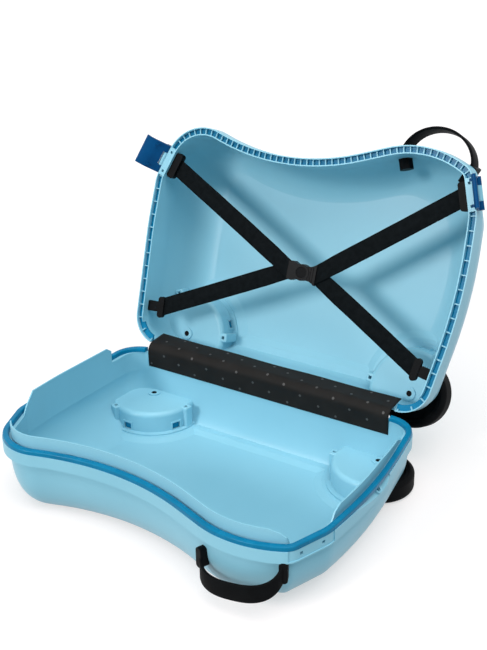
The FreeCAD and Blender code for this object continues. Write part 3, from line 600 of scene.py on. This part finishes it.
sizes = dot_tree.nodes.new("NodeGroupInput").outputs
columns_less = dot_sum("SUBTRACT")
columns_less.inputs[1].default_value = 1.0
rows_less = dot_sum("SUBTRACT")
rows_less.inputs[1].default_value = 1.0
lattice_width = dot_sum("MULTIPLY")
lattice_height = dot_sum("MULTIPLY")
lattice = dot_tree.nodes.new("GeometryNodeMeshGrid")
dot_number = dot_tree.nodes.new("GeometryNodeInputIndex")
row_number = dot_sum("MODULO")
row_turns = dot_sum("MULTIPLY")
row_share = dot_sum("FRACT")
row_slide = dot_sum("MULTIPLY")
slide = dot_tree.nodes.new("ShaderNodeCombineXYZ")
jitter = dot_tree.nodes.new("FunctionNodeRandomValue")
jitter.data_type = "FLOAT_VECTOR"
jitter.inputs[0].default_value = (-1, -1, 0)
jitter.inputs[1].default_value = (1, 1, 0)
jitter_size = dot_tree.nodes.new("ShaderNodeVectorMath")
jitter_size.operation = "SCALE"
shift = dot_tree.nodes.new("ShaderNodeVectorMath")
shift.operation = "ADD"
moved = dot_tree.nodes.new("GeometryNodeSetPosition")
disc = dot_tree.nodes.new("GeometryNodeMeshCylinder")
disc.fill_type = "TRIANGLE_FAN"
disc.inputs["Fill Segments"].default_value = 3
disc.inputs["Vertices"].default_value = 14
disc.inputs["Depth"].default_value = 0.0003
scatter = dot_tree.nodes.new("GeometryNodeInstanceOnPoints")
real = dot_tree.nodes.new("GeometryNodeRealizeInstances")
inked = dot_tree.nodes.new("GeometryNodeSetMaterial")
inked.inputs["Material"].default_value = dot_ink
printed = dot_tree.nodes.new("NodeGroupOutput")
join(
    dot_tree,
    (sizes["Columns"], columns_less.inputs[0]),
    (sizes["Rows"], rows_less.inputs[0]),
    (columns_less.outputs[0], lattice_width.inputs[0]),
    (sizes["Column gap"], lattice_width.inputs[1]),
    (rows_less.outputs[0], lattice_height.inputs[0]),
    (sizes["Row gap"], lattice_height.inputs[1]),
    (lattice_width.outputs[0], lattice.inputs["Size X"]),
    (lattice_height.outputs[0], lattice.inputs["Size Y"]),
    (sizes["Columns"], lattice.inputs["Vertices X"]),
    (sizes["Rows"], lattice.inputs["Vertices Y"]),
    (dot_number.outputs[0], row_number.inputs[0]),
    (sizes["Rows"], row_number.inputs[1]),
    (row_number.outputs[0], row_turns.inputs[0]),
    (sizes["Row shift"], row_turns.inputs[1]),
    (row_turns.outputs[0], row_share.inputs[0]),
    (row_share.outputs[0], row_slide.inputs[0]),
    (sizes["Column gap"], row_slide.inputs[1]),
    (row_slide.outputs[0], slide.inputs["X"]),
    (sizes["Seed"], jitter.inputs["Seed"]),
    (jitter.outputs["Value"], jitter_size.inputs[0]),
    (sizes["Scatter"], jitter_size.inputs["Scale"]),
    (slide.outputs[0], shift.inputs[0]),
    (jitter_size.outputs[0], shift.inputs[1]),
    (lattice.outputs["Mesh"], moved.inputs["Geometry"]),
    (shift.outputs[0], moved.inputs["Offset"]),
    (sizes["Dot radius"], disc.inputs["Radius"]),
    (moved.outputs["Geometry"], scatter.inputs["Points"]),
    (disc.outputs["Mesh"], scatter.inputs["Instance"]),
    (scatter.outputs["Instances"], real.inputs["Geometry"]),
    (real.outputs["Geometry"], inked.inputs["Geometry"]),
    (inked.outputs["Geometry"], printed.inputs["Dots"]),
)
dots = bpy.data.objects.new("hinge_cover_dots", bpy.data.meshes.new("hinge_cover_dots"))
scene.collection.objects.link(dots)
printing = dots.modifiers.new("print", "NODES")
printing.node_group = dot_tree
for identifier, value in dot_sockets.items():
    printing[identifier] = value
plain_mesh(dots)
# The rows slide along by about half a column gap on average, and the print is centred for that.
middle_slide = 0.48
dot_middle = (cover_low.x + cover_high.x) / 2 - middle_slide * dot_column_gap
for vertex in dots.data.vertices:
    along = dot_middle + vertex.co.x
    vertex.co = on_cover(along, cover_length / 2 + vertex.co.y, cover_thick / 2 + vertex.co.z)

# The sheet follows the base up to the start of its bend, and the lid from just past its crest.
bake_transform(cover)
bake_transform(dots)
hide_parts("hinge_cover")

# Floor: a pale flat plane that looks white to the camera and in reflections, and keeps the case's shadow.
# It throws back less light onto the case than it shows.
floor_size = 14.0
floor_bounce = (0.42, 0.42, 0.42, 1)
floor_shown = (0.58, 0.48, 0.46, 1)
floor_glow = 0.55
bpy.ops.mesh.primitive_plane_add(size=floor_size, location=(0, 0, 0))
floor = bpy.context.object
floor.name = "floor"
sweep = bpy.data.materials.new("white_sweep")
sweep.use_nodes = True
sweep_tree = sweep.node_tree
sweep_shader = sweep_tree.nodes["Principled BSDF"]
sweep_shader.inputs["Emission Color"].default_value = (1, 1, 1, 1)
sweep_shader.inputs["Roughness"].default_value = 0.9
sweep_shader.inputs["Specular IOR Level"].default_value = 0.1
floor_path = sweep_tree.nodes.new("ShaderNodeLightPath")
floor_seen = sweep_tree.nodes.new("ShaderNodeMath")
floor_seen.operation = "MAXIMUM"
whiteness = sweep_tree.nodes.new("ShaderNodeMix")
whiteness.data_type = "RGBA"
whiteness.inputs["A"].default_value = floor_bounce
whiteness.inputs["B"].default_value = floor_shown
glow = sweep_tree.nodes.new("ShaderNodeMath")
glow.operation = "MULTIPLY"
glow.inputs[1].default_value = floor_glow
join(
    sweep_tree,
    (floor_path.outputs["Is Camera Ray"], floor_seen.inputs[0]),
    (floor_path.outputs["Is Glossy Ray"], floor_seen.inputs[1]),
    (floor_seen.outputs[0], whiteness.inputs["Factor"]),
    (whiteness.outputs["Result"], sweep_shader.inputs["Base Color"]),
    (floor_seen.outputs[0], glow.inputs[0]),
    (glow.outputs[0], sweep_shader.inputs["Emission Strength"]),
)
floor.data.materials.append(sweep)

# Light: a slightly warm lamp from the front and a little left, and a broader one overhead.
# A cool, even surround fills the shade, and is plain white where the camera or a reflection sees it.
shade_fill = (0.19, 0.41, 0.49, 1)
lamp_colour = (1.0, 0.96, 0.94)
world = bpy.data.worlds.new("white_surround")
scene.world = world
world.use_nodes = True
sky = world.node_tree
sky_path = sky.nodes.new("ShaderNodeLightPath")
sky_seen = sky.nodes.new("ShaderNodeMath")
sky_seen.operation = "MAXIMUM"
sky_shown = sky.nodes.new("ShaderNodeMath")
sky_shown.operation = "MAXIMUM"
surround = sky.nodes.new("ShaderNodeMix")
surround.data_type = "RGBA"
surround.inputs["A"].default_value = shade_fill
surround.inputs["B"].default_value = (1, 1, 1, 1)
join(
    sky,
    (sky_path.outputs["Is Camera Ray"], sky_seen.inputs[0]),
    (sky_path.outputs["Is Glossy Ray"], sky_seen.inputs[1]),
    (sky_seen.outputs[0], sky_shown.inputs[0]),
    (sky_path.outputs["Is Transmission Ray"], sky_shown.inputs[1]),
    (sky_shown.outputs[0], surround.inputs["Factor"]),
    (surround.outputs["Result"], sky.nodes["Background"].inputs["Color"]),
)
for lamp_name, strength, spread, travel in (
    ("front_lamp", 1.55, 15, (0.28, 0.85, -0.44)),
    ("top_lamp", 2.0, 50, (-0.28, 0.22, -0.93)),
):
    lamp = bpy.data.lights.new(lamp_name, "SUN")
    lamp.energy = strength
    lamp.color = lamp_colour
    lamp.angle = math.radians(spread)
    holder = bpy.data.objects.new(lamp_name, lamp)
    scene.collection.objects.link(holder)
    holder.rotation_euler = Vector(travel).to_track_quat("-Z", "Y").to_euler()

# Camera: the photographed view, from the front right and above.
# Its place, turn and lens were fitted to the outline of the case in the photograph.
azimuth = math.radians(32.597)
elevation = math.radians(25.216)
roll = math.radians(-0.686)
target = Vector((0.021334, 0.075, 0.231754))
distance = 1.579686
focal_pixels = 1240.6
photo_height = 650
level = math.cos(elevation)
back = Vector((math.sin(azimuth) * level, -math.cos(azimuth) * level, math.sin(elevation)))
sideways = Vector((math.cos(azimuth), math.sin(azimuth), 0))
upward = back.cross(sideways)
right = sideways * math.cos(roll) + upward * math.sin(roll)
top = upward * math.cos(roll) - sideways * math.sin(roll)
lens = bpy.data.cameras.new("camera")
lens.lens = focal_pixels / photo_height * lens.sensor_width
camera = bpy.data.objects.new("camera", lens)
scene.collection.objects.link(camera)
camera.location = target + back * distance
camera.rotation_euler = Matrix((right, top, back)).transposed().to_euler()
scene.camera = camera
scene.view_settings.view_transform = "Standard"
